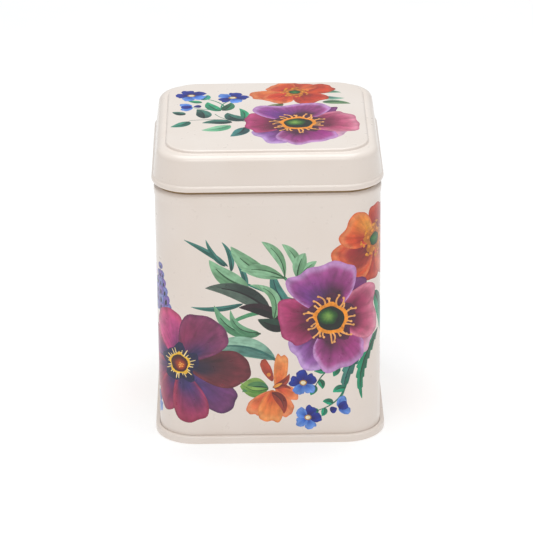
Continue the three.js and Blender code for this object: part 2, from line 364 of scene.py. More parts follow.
def triangulate(rim, outlines=(), loose=(), creases=()):
    """Triangles over the convex region inside rim, cut along every outline and crease.

    Gives the points, the triangles, and the last outline over each triangle, or -1."""
    points, edges = [], []
    for loop in (rim, *outlines):
        first = len(points)
        edges.extend((first + i, first + (i + 1) % len(loop)) for i in range(len(loop)))
        points.extend(loop)
    for crease in creases:
        edges.extend((len(points) + i, len(points) + i + 1) for i in range(len(crease) - 1))
        points.extend(crease)
    points.extend(loose)
    vectors = [Vector(point) for point in points]
    verts, _, triangles, sources, _, _ = delaunay_2d_cdt(vectors, edges, [], 0, 0.015, True)
    plane = np.array([tuple(vert) for vert in verts], float)
    for i, source in enumerate(sources):
        if source:
            plane[i] = points[min(source)]
    triangles = np.array(triangles)
    middles = plane[triangles].mean(1)
    top = np.full(len(triangles), -1)
    for i, outline in enumerate(outlines):
        near = np.all((middles > outline.min(0)) & (middles < outline.max(0)), 1)
        near[near] = inside(middles[near], outline)
        top[near] = i
    return plane, triangles, top


# ---- Inks: one printed shape each, with the way its pigment runs ----


def tint(code):
    """A linear colour from a code such as "A22F73"."""
    value = np.array([int(code[i : i + 2], 16) for i in (0, 2, 4)]) / 255
    return np.where(value <= 0.04045, value / 12.92, ((value + 0.055) / 1.055) ** 2.4)


class Ink:
    """A printed shape. Its colours run from its root to its outline, or along its spine.

    They are given as one string of codes, evenly spread unless stops says where each one is."""

    def __init__(self, outline, root, colours, stops=None, blush=None, spine=None, fibre=0.7):
        self.outline = self.form = np.asarray(outline, float)
        self.root = np.asarray(root, float)
        self.colours = [tint(code) for code in colours.split()]
        self.stops = np.linspace(0, 1, len(self.colours)) if stops is None else stops
        self.blush = blush
        self.spine = spine
        self.fibre = fibre

    def moved(self, shift):
        ink = Ink.__new__(Ink)
        ink.__dict__.update(self.__dict__)
        ink.outline = ink.form = self.outline + shift
        ink.root = self.root + shift
        return ink

    def shade(self, points):
        """Colour, darker pigment and grain coordinates at points in the flat sheet."""
        away = points - self.root
        if self.spine is None:
            edge = self.form - self.root
            bearing = np.arctan2(edge[:, 1], edge[:, 0])
            order = np.argsort(bearing)
            angle = np.arctan2(away[..., 1], away[..., 0])
            reach = np.interp(angle, bearing[order], np.hypot(*edge.T)[order], period=2 * math.pi)
            run = np.hypot(away[..., 0], away[..., 1]) / np.maximum(reach, 1e-6)
            size = np.hypot(*edge.T).mean()
            grain = [angle * size / self.fibre / 2, run * size / self.fibre / 6]
        else:
            length = np.linalg.norm(self.spine)
            forward = np.array(self.spine) / length
            run = away @ forward / length
            across = away[..., 0] * -forward[1] + away[..., 1] * forward[0]
            grain = [across / self.fibre, run * length / self.fibre / 5]
        run = np.clip(run, 0, 1)
        channels = np.transpose(self.colours)
        colour = np.stack([np.interp(run, self.stops, channel) for channel in channels], -1)
        if self.blush:
            code, bearing, strength = self.blush
            toward = away @ np.array([math.cos(bearing), math.sin(bearing)])
            toward = toward / np.maximum(np.hypot(away[..., 0], away[..., 1]), 1e-6)
            amount = (strength * np.clip(toward, 0, 1) ** 2 * np.sin(run * math.pi))[..., None]
            colour = colour * (1 - amount) + tint(code) * amount
        seed = float(self.root.sum()) * 3.7
        grain = np.stack([*grain, np.full(run.shape, seed)], -1)
        return np.concatenate([colour, colour**1.15 * 0.48, grain], -1)


def bezier(start, pull, end, steps=14):
    t = np.linspace(0, 1, steps + 1)[:, None]
    return (1 - t) ** 2 * np.array(start) + 2 * t * (1 - t) * np.array(pull) + t**2 * np.array(end)


def ribbon(spine, left, right):
    """The outline between two sides of a spine, at these distances from it."""
    step = np.gradient(spine, axis=0)
    normal = unit(np.column_stack([-step[:, 1], step[:, 0]]))
    return np.vstack([spine + normal * left[:, None], (spine - normal * right[:, None])[::-1]])


def bowed(root, tip, bow):
    """The pull point that bows a straight run sideways by this share of its length."""
    root, tip = np.array(root, float), np.array(tip, float)
    along = tip - root
    return (root + tip) / 2 + 2 * bow * np.array([-along[1], along[0]])


def stroke(root, tip, colour, wide=0.5, narrow=0.12, bow=0.0):
    spine = bezier(root, bowed(root, tip, bow), tip, 10)
    width = np.linspace(wide, narrow, len(spine)) / 2
    return [Ink(ribbon(spine, width, width), root, colour, spine=spine[-1] - spine[0])]


def leaf(root, tip, width, colours, bow=0.0, teeth=0, shaded=1, plump=0.75):
    """A blade with a darker half and a midrib; colours are light, dark and rib."""
    light, dark, rib = colours.split()
    spine = bezier(root, bowed(root, tip, bow), tip, 18 + 6 * teeth)
    share = np.linspace(0, 1, len(spine))
    half = width / 2 * np.sin(math.pi * share**plump) ** 0.8 + 0.06
    if teeth:
        half = half * (0.72 + 0.4 * np.mod(share * teeth, 1))
    along = spine[-1] - spine[0]
    blade = f"{dark} {light} {light} {light}"
    inks = [Ink(ribbon(spine, half, half), root, blade, spine=along)]
    thin = np.full(len(spine), 0.02)
    sides = (half * 0.94, thin) if shaded > 0 else (thin, half * 0.94)
    inks.append(Ink(ribbon(spine, *sides), root, f"{dark} {dark} {light}", spine=along))
    vein = slice(0, int(len(spine) * 0.84))
    line = np.linspace(0.07 * width, 0.015 * width, len(spine))[vein]
    inks.append(Ink(ribbon(spine[vein], line, line), root, rib, spine=along))
    return inks


def leaves(*blades):
    """Leaves in turn, each given as its arguments to leaf."""
    return [ink for blade in blades for ink in leaf(*blade)]


PETAL_STOPS = (0, 0.3, 0.52, 0.78, 0.9, 1)


def petal(
    centre, bearing, length, width, colours,
    start=0.12, skew=0.3, ripple=0.03, notch=0.0, stops=PETAL_STOPS, blush=None,
):
    """A petal that points along bearing, in degrees; colours run from its foot to its edge."""
    bearing = math.radians(bearing)
    turn = np.linspace(0, 2 * math.pi, 48, endpoint=False)
    reach = (1 - np.cos(turn)) / 2
    phase = bearing * 7 + length
    wave = np.sin(3 * turn + phase) + 0.7 * np.sin(5 * turn + 2 * phase)
    wave = wave + 0.4 * np.sin(9 * turn + 3 * phase)
    swell = 1 + ripple * wave * reach
    across = width / 2 * np.sin(turn) * (1 + skew * (2 * reach - 1)) * swell
    dip = notch * np.exp(-((across / (0.16 * width)) ** 2)) * (reach > 0.5)
    along = length * (start + (1 - start) * reach) * swell - dip * length
    forward = np.array([math.cos(bearing), math.sin(bearing)])
    sideways = np.array([-forward[1], forward[0]])
    outline = centre + along[:, None] * forward + across[:, None] * sideways
    root = np.array(centre) + forward * length * (start + 0.04)
    return [Ink(outline, root, colours, stops=stops, blush=blush)]


def corolla(centre, radius, petals, blush_turn, strength, **look):
    """A flower's petals, each as bearing, reach, breadth, colours and the ink of its blush.

    Reach and breadth are shares of the radius; the blush lies to one side of the petal."""
    inks = []
    for bearing, reach, breadth, colours, blush in petals:
        if blush:
            blush = (blush, math.radians(bearing + blush_turn), strength)
        size = (radius * reach, radius * breadth)
        inks += petal(centre, bearing, *size, colours, blush=blush, **look)
    return inks


def dab(centre, radius, colours, flat=1.0, ripple=0.0, root=None, count=18):
    """A round or oval spot of colour."""
    turn = np.linspace(0, 2 * math.pi, count, endpoint=False)
    size = radius * (1 + ripple * np.sin(5 * turn) + 0.6 * ripple * np.cos(8 * turn + 1))
    outline = np.array(centre) + np.column_stack([size * np.cos(turn), flat * size * np.sin(turn)])
    return [Ink(outline, centre if root is None else root, colours, fibre=0.4)]


def polar(centre, bearing, distance):
    bearing = math.radians(bearing)
    return np.array(centre) + distance * np.array([math.cos(bearing), math.sin(bearing)])


# ---- Flowers and foliage ----

# Petals: two colours at the foot, two in the middle, then the margin and the edge.
LILAC = "2E0B1A 4A1034 8E2E74 AC4C90 CE98D0 C086C4"
VIOLET = "300B24 4A0F40 7C3C8C A06AB4 CAA2DA B68ECC"
MAGENTA = "330B1C 62103A 9C1E5A BC3874 CA4A82 A0205E"
ROSE = "3A0B1C 70163C BC4872 DA7090 E690A8 CE6888"
BLUSH = "4C0B2A 8E1650 C45084 D890B4 E2B2CC D49ABE"
PLUM = "330B2D 520B4B 670B5F 782C72 823D7A 640B5C"
PEACH = "9E2A18 B82C14 D8461C E4582A EE8A55 E26430"
RUST = "6A1C20 842420 9E2E22 B03A2C D8603A CE5230"
SCARLET = "6A1614 942014 B82A14 C8361A D8502C B8301A"
INDIGO = "1C1C50 2A2460 5E2A5C 78305E 8E3C68 6A2454"
MAROON = "16183E 30203E 642430 7A2634 802C38 601A26"
CRIMSON = "1C2254 4A2862 962652 B42E56 B8385C 8E2046"
ORCHID = "1C2254 6A2C6C A04280 C04A84 D04E7E B8406E"
DUSK = "1C2C66 302F74 483070 683068 783870 542458"
FLORET = "2C2258 40347C 6650A0 7E64B2 9076BE 6C54A4"
FLORET_BLUE = "2A2A66 3C4690 5A62AE 7480C2 8A90CC 5C66B0"
BLUE_DEEP = "0B0B5C 0B0B76 0B1C8B 0B2D9B 0E3DA7 0B0B84"
BLUE_LIGHT = "0B3BAB 2A64C6 4C7FD8 6292E3 77A4EC 4F82DA"

# Leaves: the light half, the dark half and the rib.
SAGE = "8DBF95 6A9B70 2C5A34"
FERN = "74AE84 4A875E 1A4429"
TEAL = "3F8478 1F6257 0B3A40"
SEA = "92BEA4 4F8377 2C6A60"
SLATE = "56695C 26352F 14100E"
NIGHT = "2A0B19 0B0B0B 0B0B0B"
EMERALD = "0B9469 0B6246 0B2C0B"
MOSS = "8BB454 52892F 0B430B"
BLUE_LEAF = "0B1E89 0B0B6E 0B0B54"
THROAT = "2A1A3A 140B1E 0B0B0B"
YOUNG = "0BAB7F 0B785C 0B3D1C"
GOLD = ("FDB73A", "F99B0B")


def anemone(centre, radius, petals):
    """Wide petals round a dark eye, a frill of curled stamens and a green button."""
    stops = (0, 0.42, 0.62, 0.84, 0.94, 1)
    inks = corolla(centre, radius, petals, 50, 0.6, ripple=0.05, notch=0.045, stops=stops)
    inks += dab(centre, radius * 0.45, "120B0B 2E0B1C 58143E", ripple=0.1, count=48)
    for i in range(26):
        bearing = i * 360 / 26 + 5 * math.sin(i * 2.4)
        reach = radius * (0.43 + 0.06 * math.sin(i * 1.7))
        curl = 0.22 * math.sin(i * 1.3 + 0.5)
        root, tip = polar(centre, bearing, radius * 0.27), polar(centre, bearing + 4, reach)
        inks += stroke(root, tip, "F8AC5C", 0.036 * radius, 0.024 * radius, curl)
        anther = polar(tip, bearing + 60, 0.012 * radius)
        inks += dab(anther, 0.024 * radius, "FFCB89 F2A04A", count=8)
    inks += dab(centre, radius * 0.31, "CF690B F2890B FD9B19", ripple=0.06, count=40)
    button = "0B0B0B 0B0B0B 0B1E0B"
    inks += dab(centre, radius * 0.25, button, flat=0.96, ripple=0.02, count=32)
    light = np.array(centre) + radius * np.array([-0.05, 0.04])
    greens = "86AE4C 64923A 1C5A14 0B2C0B"
    return inks + dab(light, radius * 0.185, greens, flat=0.9, ripple=0.06)


def poppy(centre, radius, petals):
    """Round overlapping petals round a green button in a cloud of gold specks."""
    inks = corolla(centre, radius, petals, -60, 0.8, notch=0.05)
    inks += dab(centre, radius * 0.27, "89330B BD620B CB760B", ripple=0.14, count=30)
    for i in range(46):
        reach = radius * (0.2 + 0.085 * (i % 3) + 0.02 * math.sin(i * 2.1))
        spot = polar(centre, i * 137.5, reach)
        inks += dab(spot, radius * (0.026 + 0.01 * math.sin(i)), f"{GOLD[i % 2]} E2890B", count=8)
    greens = "4F893D 1C6727 0B330B"
    return inks + dab(centre, radius * 0.15, greens, flat=0.9, ripple=0.05)


def cosmos(centre, radius, petals):
    """Long dark petals round a russet disc with a ragged yellow collar."""
    inks = corolla(centre, radius, petals, 40, 0.7, skew=0.42, ripple=0.02)
    inks += dab(centre, radius * 0.34, "0E0E24 12143A 1E1C4C", ripple=0.16, count=36)
    for i in range(24):
        bearing = i * 15 + 4 * math.sin(i * 3.1)
        root = polar(centre, bearing, radius * 0.13)
        tip = polar(centre, bearing, radius * (0.27 + 0.04 * math.sin(i * 1.9)))
        inks += stroke(root, tip, "FFE19B", 0.03 * radius, 0.012 * radius)
    inks += dab(centre, radius * 0.2, "EA970B FBB90B FDC633", ripple=0.1, count=32)
    glow = polar(centre, -40, radius * 0.05)
    inks += dab(centre, radius * 0.165, "EA760B BD450B 620B0B 250B0B", 1.0, 0.03, glow)
    for i in range(9):
        spot = polar(polar(centre, -40, radius * 0.04), i * 137.5, radius * 0.018 * i**0.5)
        inks += dab(spot, 0.014 * radius, "FFC67D FBA23D", count=6)
    return inks


def forget_me_not(centre, radius, turn=0.0, dark=(0, 1, 4)):
    inks = []
    for i in range(5):
        colours = BLUE_DEEP if i in dark else BLUE_LIGHT
        size = (radius, radius * 0.8)
        inks += petal(centre, turn + 90 + 72 * i, *size, colours, skew=0.34, ripple=0.05)
    inks += dab(centre, radius * 0.27, "F2C876 D09B33 AB710B", flat=0.85, count=14)
    return inks + dab(centre, radius * 0.19, "FFFCE5 FFECC2", flat=0.8, count=12)


def side_view_bloom(centre, radius, bearing):
    """A small blue flower seen from the side, opening along bearing."""
    inks = []
    petals = ((-38, 0.95, BLUE_LIGHT), (34, 1.0, BLUE_LIGHT), (0, 0.8, BLUE_DEEP))
    for spread, reach, colours in petals:
        inks += petal(centre, bearing + spread, radius * reach, radius * 0.62, colours, skew=0.2)
    stalk = polar(centre, bearing + 180, radius * 0.5)
    return inks + leaf(stalk, centre, radius * 0.5, BLUE_LEAF, plump=0.7)


def spike(root, tip, width, colours, tiers=7):
    """A flower spike that tapers to its tip: overlapping round florets with dark throats."""
    inks = stroke(root, tip, "1C5345", 0.8, 0.3)
    root, tip = np.array(root, float), np.array(tip, float)
    heading = math.degrees(math.atan2(*(tip - root)[::-1]))
    for i in range(tiers):
        share = i / (tiers - 1)
        spot = root + (tip - root) * share
        size = width * (0.21 - 0.12 * share)
        for side in (1, -1, 0):
            middle = polar(spot, heading + 90 * side, abs(side) * width * 0.3 * (1 - 0.86 * share))
            shades = colours[(i + side) % 2].split()
            floret = f"{shades[3]} {shades[4]} {shades[2]}"
            inks += dab(middle, size, floret, flat=1.12, ripple=0.05)
            foot = polar(middle, heading + 180, 0.9 * size)
            inks += leaf(foot, polar(foot, heading + 14 * side, size), size * 0.5, THROAT)
    return inks


def sprig(root, tip, colours, bow=0.12, pairs=4, size=5.0, width=2.3, spread=48):
    """A curved stem with leaves on both sides and one at its tip."""
    inks = stroke(root, tip, colours.split()[1], 0.75, 0.35, bow)
    spine = bezier(root, bowed(root, tip, bow), tip, 24)
    for i in range(pairs * 2):
        share = 0.22 + 0.72 * i / (pairs * 2 - 1)
        at = int(share * 23)
        heading = math.degrees(math.atan2(*(spine[at + 1] - spine[at])[::-1]))
        side = 1 if i % 2 else -1
        reach = size * (1.05 - 0.35 * share)
        end = polar(spine[at], heading + side * spread, reach)
        breadth = width * (1.05 - 0.3 * share)
        inks += leaf(spine[at], end, breadth, colours, bow=0.1 * side, shaded=side)
    ahead = math.degrees(math.atan2(*(spine[-1] - spine[-2])[::-1]))
    return inks + leaf(spine[-1], polar(spine[-1], ahead, size * 0.8), width * 0.85, colours)


def snapdragon(centre, size):
    """A ruffled orange bloom with a rust-coloured throat."""

    def place(x, y):
        reach, bearing = math.hypot(x, y) * size, math.degrees(math.atan2(y, x))
        return polar(centre, bearing, reach)

    warm = "C2401C DA5A26 EC7C38 F08A44 F4A25C E67C38"
    coral = "B83418 D85030 EA6A38 F07C48 F29862 E87444"
    rust = "8A2A1E 9A3020 B03C24 BC4428 C4502E A83A24"
    accent = "A83C28 7E2A1E 5E1C16"
    lobes = (
        ((-0.1, 0.26), (-0.38, 0.9), 0.26, rust),
        ((0.04, -0.14), (0.18, 1.1), 0.37, warm),
        ((-0.04, 0.12), (0.56, -0.24), 0.4, coral),
        ((-0.1, -0.04), (-0.76, -0.72), 0.46, coral),
        ((-0.1, -0.04), (0.38, -0.74), 0.5, coral),
        ((-0.1, 0.0), (-0.2, -1.0), 0.66, warm),
    )
    inks = []
    for foot, tip, breadth, colours in lobes:
        foot, tip = place(*foot), place(*tip)
        bearing = math.degrees(math.atan2(*(tip - foot)[::-1]))
        reach = np.linalg.norm(tip - foot)
        inks += petal(foot, bearing, reach, size * breadth, colours, start=0.0, ripple=0.045)
    gold = "F2A83E E88A2A D97A20"
    inks += leaves(
        (place(-0.12, -0.08), place(0.2, -0.72), size * 0.28, accent, 0.16),
        (place(-0.1, 0.08), place(0.36, 0.48), size * 0.2, accent, -0.16),
        (place(-0.02, 0.04), place(0.4, 0.02), size * 0.12, accent, 0.2),
        (place(-0.08, 0.08), place(0.16, 0.2), size * 0.08, gold),
    )
    return inks + dab(place(-0.2, 0.46), size * 0.06, "F2A83E E07A2A", count=10)


def bud(root, tip, width):
    sepal = "528B4F 1C6749 0B4027"
    inks = leaf(root, tip, width, "84AB4F 64943D 336E1E", plump=0.9)
    inks += leaf(root, polar(tip, -70, width * 0.3), width * 0.5, sepal, -0.16)
    return inks + leaf(root, polar(tip, 80, width * 0.2), width * 0.32, MOSS, 0.18)


def lobed_leaves(root, tips, colours=SAGE):
    """Round-ended fingers that share one root."""
    return leaves(*((root, tip, width, colours, bow, 0, -1, 1.25) for tip, width, bow in tips))


# ---- Bouquets, in millimetres on the flat sheet ----


def front_bouquet():
    inks = []
    inks += stroke((16, 52), (-18, 66), "1C7C68", 1.5, 0.5, 0.04)
    inks += stroke((14, 46), (-16, 44), "529E6E", 2.2, 1.2, -0.16)
    inks += leaves(
        ((-14, 67), (-29, 77), 1.9, TEAL, -0.03),
        ((-15, 67), (-21.5, 77), 1.7, TEAL, 0.08),
        ((-13, 65), (-16, 76), 1.9, TEAL, -0.12),
        ((-8, 58), (-11.5, 69), 2.0, TEAL, -0.1),
        ((-9, 53), (-27, 52), 1.9, TEAL, 0.08),
        ((-7, 59), (-20.5, 69.5), 6.2, SAGE, 0.1),
        ((0, 50), (-22, 59), 6.4, SLATE, -0.12, 0, -1),
        ((4, 47), (-10.5, 51.5), 4.4, NIGHT, -0.1),
        ((8, 46), (-1, 58), 4.6, "3A6257 0B2D33 0B0B0B", -0.1),
        ((9, 50), (1.5, 66), 4.4, TEAL, 0.14),
        ((6, 44), (-4, 47), 4.8, "1C402F 0B0B0B 0B0B0B", 0.06),
    )
    inks += stroke((12, 55), (5, 63), "529E6E", 1.6, 1.0)
    lobes = [((-13, 74.4), 5.6, 0.12), ((-2.4, 76), 3.4, -0.14), ((-9.6, 65.4), 4.0, -0.1)]
    inks += lobed_leaves((5.5, 62.4), lobes)
    inks += stroke((14, 56), (9.5, 63), "529E6E", 1.5, 0.9)
    lobes = [((4.6, 75), 3.4, -0.16), ((16.5, 68.5), 2.8, 0.06), ((12.6, 71.6), 4.6, 0.08)]
    inks += lobed_leaves((9.8, 62.0), lobes)
    inks += leaves(
        ((1.5, 47), (-6.5, 60), 3.4, SAGE, -0.3),
        ((-3, 41.6), (-19, 52.4), 4.4, FERN, 0.2),
        ((-4, 42), (-13.4, 50.6), 3.0, FERN, 0.24),
        ((2, 31.5), (-22, 35.5), 7.4, SEA, -0.14, 0, 1, 0.9),
        ((38, 55), (43, 38), 5.4, EMERALD, 0.1),
        ((36, 40), (25.4, 17.5), 4.6, TEAL, -0.1, 6),
        ((41, 40), (32.5, 15.5), 4.2, EMERALD, -0.16, 7),
    )
    inks += spike((-40.2, 50), (-40.0, 65.0), 11.5, (FLORET, FLORET_BLUE), 6)
    inks += cosmos((-31.8, 30.2), 20, [
        (158, 1.0, 0.62, CRIMSON, "780B7D"),
        (205, 1.05, 0.6, CRIMSON, "A02456"),
        (247, 1.0, 0.5, CRIMSON, "4C0B62"),
        (108, 1.04, 0.6, ORCHID, "EA3D89"),
        (318, 1.28, 0.54, DUSK, "7A3274"),
        (283, 1.16, 0.6, CRIMSON, "2E3078"),
        (353, 1.24, 0.68, MAROON, "3A1420"),
        (52, 1.06, 0.84, INDIGO, "962850"),
    ])
    inks += bud((-0.6, 20.5), (-10.5, 21.5), 7.6)
    inks += snapdragon((2.2, 20.0), 12.8)
    inks += sprig((31, 31), (16, 21.5), EMERALD, bow=-0.16, pairs=2, size=5.2, width=3.0)
    inks += sprig((27, 24), (17, 12), YOUNG, bow=0.16, pairs=2, size=4.6, width=2.8)
    inks += forget_me_not((11.6, 22.6), 4.9, turn=8)
    inks += forget_me_not((13.2, 9.2), 4.7, turn=-20, dark=(0, 4))
    inks += side_view_bloom((23.4, 12.6), 5.2, 24)
    inks += poppy((38.4, 74.6), 18, [
        (262, 0.86, 0.62, SCARLET, None),
        (310, 0.92, 0.74, SCARLET, "F2763D"),
        (12, 0.9, 0.8, PEACH, "DA2F0B"),
        (68, 0.74, 0.72, SCARLET, "A70B0B"),
        (216, 1.02, 0.86, PEACH, "BD3327"),
        (214, 0.84, 0.6, RUST, "8B0B27"),
        (150, 0.8, 0.74, PEACH, "FDB43D"),
    ])
    inks += anemone((21.3, 47.0), 19, [
        (56, 1.04, 0.46, PLUM, None),
        (326, 1.0, 0.72, BLUSH, "C60B5F"),
        (240, 1.08, 0.84, VIOLET, "9B3B97"),
        (283, 1.04, 0.96, LILAC, "B43384"),
        (8, 1.0, 1.04, ROSE, "890B49"),
        (184, 0.98, 0.92, MAGENTA, "620B2F"),
        (102, 1.12, 1.22, LILAC, "7A3A9A"),
    ])
    return inks


def side_bouquet():
    """Fills the face round the corner; its own flowers, in the same garden colours."""
    inks = []

    def on(x, z):
        return (QUARTER + x, z)

    inks += stroke(on(-4, 34), on(8, 64), "3B9269", 1.6, 0.7, 0.1)
    inks += leaves(
        (on(4, 52), on(-9, 66), 6.4, SAGE, -0.1),
        (on(6, 56), on(-2, 73), 4.6, TEAL, 0.08),
        (on(2, 46), on(-14, 52), 5.4, SLATE, 0.1),
        (on(0, 40), on(-17, 42), 4.8, SEA, -0.12),
    )
    lobes = [(on(26, 84), 6.4, -0.08), (on(15, 87), 4.6, 0.1), (on(28, 75), 4.4, 0.1)]
    inks += lobed_leaves(on(12, 71), lobes, FERN)
    inks += leaves(
        (on(20, 48), on(31, 39), 5.6, EMERALD, -0.12),
        (on(18, 54), on(33, 58), 5.2, SAGE, 0.12),
        (on(8, 30), on(24, 27), 5.8, SEA, -0.14),
        (on(-10, 20), on(-25, 12), 4.8, EMERALD, 0.1, 6),
        (on(-12, 26), on(-27, 30), 4.4, TEAL, -0.14, 6),
        (on(2, 12), on(18, 7), 5.0, FERN, 0.12),
    )
    inks += sprig(on(16, 34), on(30, 18), EMERALD, bow=0.14, pairs=2, size=5.4, width=3.0)
    inks += sprig(on(-2, 68), on(-13, 84), YOUNG, bow=-0.12, pairs=3, size=5.0, width=2.8)
    inks += spike(on(-21, 42), on(-23, 62), 13.0, (FLORET, FLORET_BLUE))
    inks += forget_me_not(on(-14.5, 80), 5.0, turn=12)
    inks += forget_me_not(on(-3.5, 78), 4.4, turn=-14, dark=(1, 2))
    inks += forget_me_not(on(27, 12), 5.0, turn=30)
    inks += side_view_bloom(on(17, 13), 5.0, 200)
    inks += bud(on(-1.5, 30), on(-10, 33), 6.6)
    inks += anemone(on(14, 53), 16, [
        (20, 1.06, 0.98, VIOLET, "9B3B97"),
        (318, 1.0, 0.86, MAGENTA, "620B2F"),
        (262, 1.06, 1.0, LILAC, "B43384"),
        (206, 0.98, 0.8, BLUSH, "C60B5F"),
        (150, 1.04, 0.96, ROSE, "890B49"),
        (84, 1.12, 1.1, LILAC, "642D8D"),
    ])
    inks += poppy(on(-5, 24), 17, [
        (20, 0.98, 0.8, PEACH, "DA2F0B"),
        (320, 0.9, 0.74, SCARLET, "F2763D"),
        (256, 0.98, 0.86, PEACH, "BD3327"),
        (196, 0.94, 0.76, RUST, "8B0B27"),
        (138, 1.0, 0.86, SCARLET, "A70B0B"),
        (78, 0.9, 0.82, PEACH, "FDB43D"),
    ])
    return inks


def lid_bouquet():
    inks = []
    bright, deep = "2CA878 1C8462 0F4C34", "3C7A6C 173E3C 0B2426"
    inks += stroke((-5, -7), (-27, -4.5), "3C6A5E", 0.5, 0.3, -0.08)
    inks += stroke((-6, -5), (-18, 2), "4C8A72", 0.5, 0.3, 0.2)
    inks += stroke((-14, 6), (-24, 19), "2C8A6A", 0.7, 0.4, -0.16)
    inks += stroke((-15, 7), (-27, 10), "3C9A78", 0.6, 0.35, 0.14)
    inks += stroke((-15.5, 6.5), (-12, 16), "2C8A6A", 0.7, 0.4, 0.16)
    inks += leaves(
        ((-28.4, 1.6), (-33, 4.4), 3.4, deep),
        ((-27, -5.4), (-33.4, -10.8), 4.2, "3C9A80 1F6A5C 0F3C38", 0.1),
        ((-22, -2.4), (-24.4, 7), 5.4, deep, -0.12),
        ((-12.6, -10), (-22.6, -14.4), 5.2, "8CC8A0 5CAE82 3C8462", 0.1),
        ((-12, -7), (-22.4, -7.2), 4.6, deep, -0.1),
        ((-8, -3.6), (-9.4, 7.4), 3.0, bright, -0.1),
        ((-7.4, -4.8), (-13.6, 3), 5.6, deep, 0.16),
        ((-7.6, -12), (-12.6, -21), 5.2, "3C8A86 1C4A4C 0B2A2E", 0.1),
        ((-16, 5), (-20.6, 14.4), 4.4, bright, 0.1),
        ((-15.4, 5.4), (-12.4, 13.6), 4.2, "2C7A56 15553C 0B2C22", -0.1),
        ((-22.6, 14), (-27.6, 15.8), 2.6, bright),
        ((-23, 17), (-20.6, 22), 3.6, "2CA08A 1C7A62 0F4C44", -0.1),
        ((6, 12), (-4, 6), 4.2, "89895C 676E49 333A19", 0.08),
        ((18, 24), (27, 23), 3.2, "7CA889 528B6E 196246", 0.08),
        ((18, 19), (28, 17), 3.6, SEA, -0.08),
        ((20, 13), (30, 11), 3.8, "789B6C 49764F 0B4C2C", 0.08),
    )
    inks += forget_me_not((-26.5, 21.5), 5.6, turn=20)
    inks += forget_me_not((-11.8, 18.8), 5.6, turn=-16, dark=(0, 2, 4))
    inks += side_view_bloom((-25.6, 9.8), 5.6, 190)
    inks += poppy((10.4, 24.0), 14, [
        (196, 1.2, 0.66, PEACH, "FDA254"),
        (228, 0.98, 0.8, PEACH, "DA2F0B"),
        (308, 1.0, 0.88, SCARLET, "C82F0B"),
        (20, 1.05, 0.72, SCARLET, "EA540B"),
        (78, 0.72, 1.0, SCARLET, "F2763D"),
        (132, 0.8, 0.8, PEACH, "D0430B"),
    ])
    inks += anemone((11, -8.4), 20, [
        (42, 1.02, 0.5, PLUM, None),
        (326, 1.0, 0.8, BLUSH, "D82F76"),
        (236, 1.06, 0.84, VIOLET, "9B3B97"),
        (282, 1.02, 1.06, LILAC, "AB0B89"),
        (4, 1.08, 1.0, ROSE, "890B49"),
        (176, 0.96, 0.94, MAGENTA, "620B2F"),
        (98, 1.04, 1.3, LILAC, "7833A2"),
    ])
    return inks


# ---- Printing ----


def clipped(outline, axis, limit, keep_below):
    """The part of an outline on one side of a line square to an axis."""
    side = (limit - outline[:, axis]) * (1 if keep_below else -1)
    kept = []
    for i, point in enumerate(outline):
        last, before, now = outline[i - 1], side[i - 1], side[i]
        if before * now < 0:
            kept.append(last + (point - last) * before / (before - now))
        if now >= 0:
            kept.append(point)
    return np.array(kept).reshape(-1, 2)


def ink_points(inks, pitch=0.8):
    """A staggered grid of points over everything that is inked."""
    low = np.min([ink.outline.min(0) for ink in inks], 0)
    high = np.max([ink.outline.max(0) for ink in inks], 0)
    x, y = np.meshgrid(np.arange(low[0], high[0], pitch), np.arange(low[1], high[1], pitch * 0.87))
    x[1::2] += pitch / 2
    points = np.column_stack([x.ravel(), y.ravel()])
    covered = np.zeros(len(points), bool)
    for ink in inks:
        near = np.all((points > ink.outline.min(0)) & (points < ink.outline.max(0)), 1) & ~covered
        covered[near] = inside(points[near], ink.outline)
    return points[covered]


def trimmed(inks, limits):
    """The inks cut back to every limit, without those that lie wholly outside."""
    kept = []
    for ink in inks:
        for axis, limit, keep_below in limits:
            if len(ink.outline):
                ink.outline = clipped(ink.outline, axis, limit, keep_below)
        if len(ink.outline) > 2:
            kept.append(ink)
    return kept


def wall_inks():
    """The bouquets repeated round the wall and trimmed to the printed sheet."""
    limits = (
        (0, LOCK_SEAM_U + SEAM_MARGIN, False),
        (0, LOCK_SEAM_U + GIRTH - SEAM_MARGIN, True),
        (1, PRINT_FOOT + 0.05, False),
        (1, PRINT_TOP - 0.05, True),
    )
    bouquets = side_bouquet() + front_bouquet()
    turns = (-2, -1, 0, 1, 2)
    copies = [ink.moved(np.array([turn * HALF_TURN, 0])) for ink in bouquets for turn in turns]
    return trimmed(copies, limits)


def lid_inks():
    """The lid's bouquet, trimmed to the flat top of its panel."""
    edge = LID_PRINT_HALF - 0.1
    limits = [(axis, *side) for axis in (0, 1) for side in ((-edge, False), (edge, True))]
    return trimmed(lid_bouquet(), limits)


def print_sheet(surface, rim, loose, creases, inks, place):
    """Triangulates a flat sheet along its printed shapes, paints it and puts it in place."""
    loose = np.vstack([loose, ink_points(inks)])
    plane, triangles, top = triangulate(rim, [ink.outline for ink in inks], loose, creases)
    points, normals = place(plane)
    index = surface.add_points(points)
    bare = top < 0
    paint = np.zeros((len(triangles), 3, 9))
    surface.add_faces(index[triangles[bare]], normals[triangles[bare]], CREAM, paint[bare])
    for i, ink in enumerate(inks):
        mine = top == i
        if mine.any():
            paint[mine] = ink.shade(plane[triangles[mine]])
    surface.add_faces(index[triangles[~bare]], normals[triangles[~bare]], PRINTED, paint[~bare])


# ---- Finishes ----


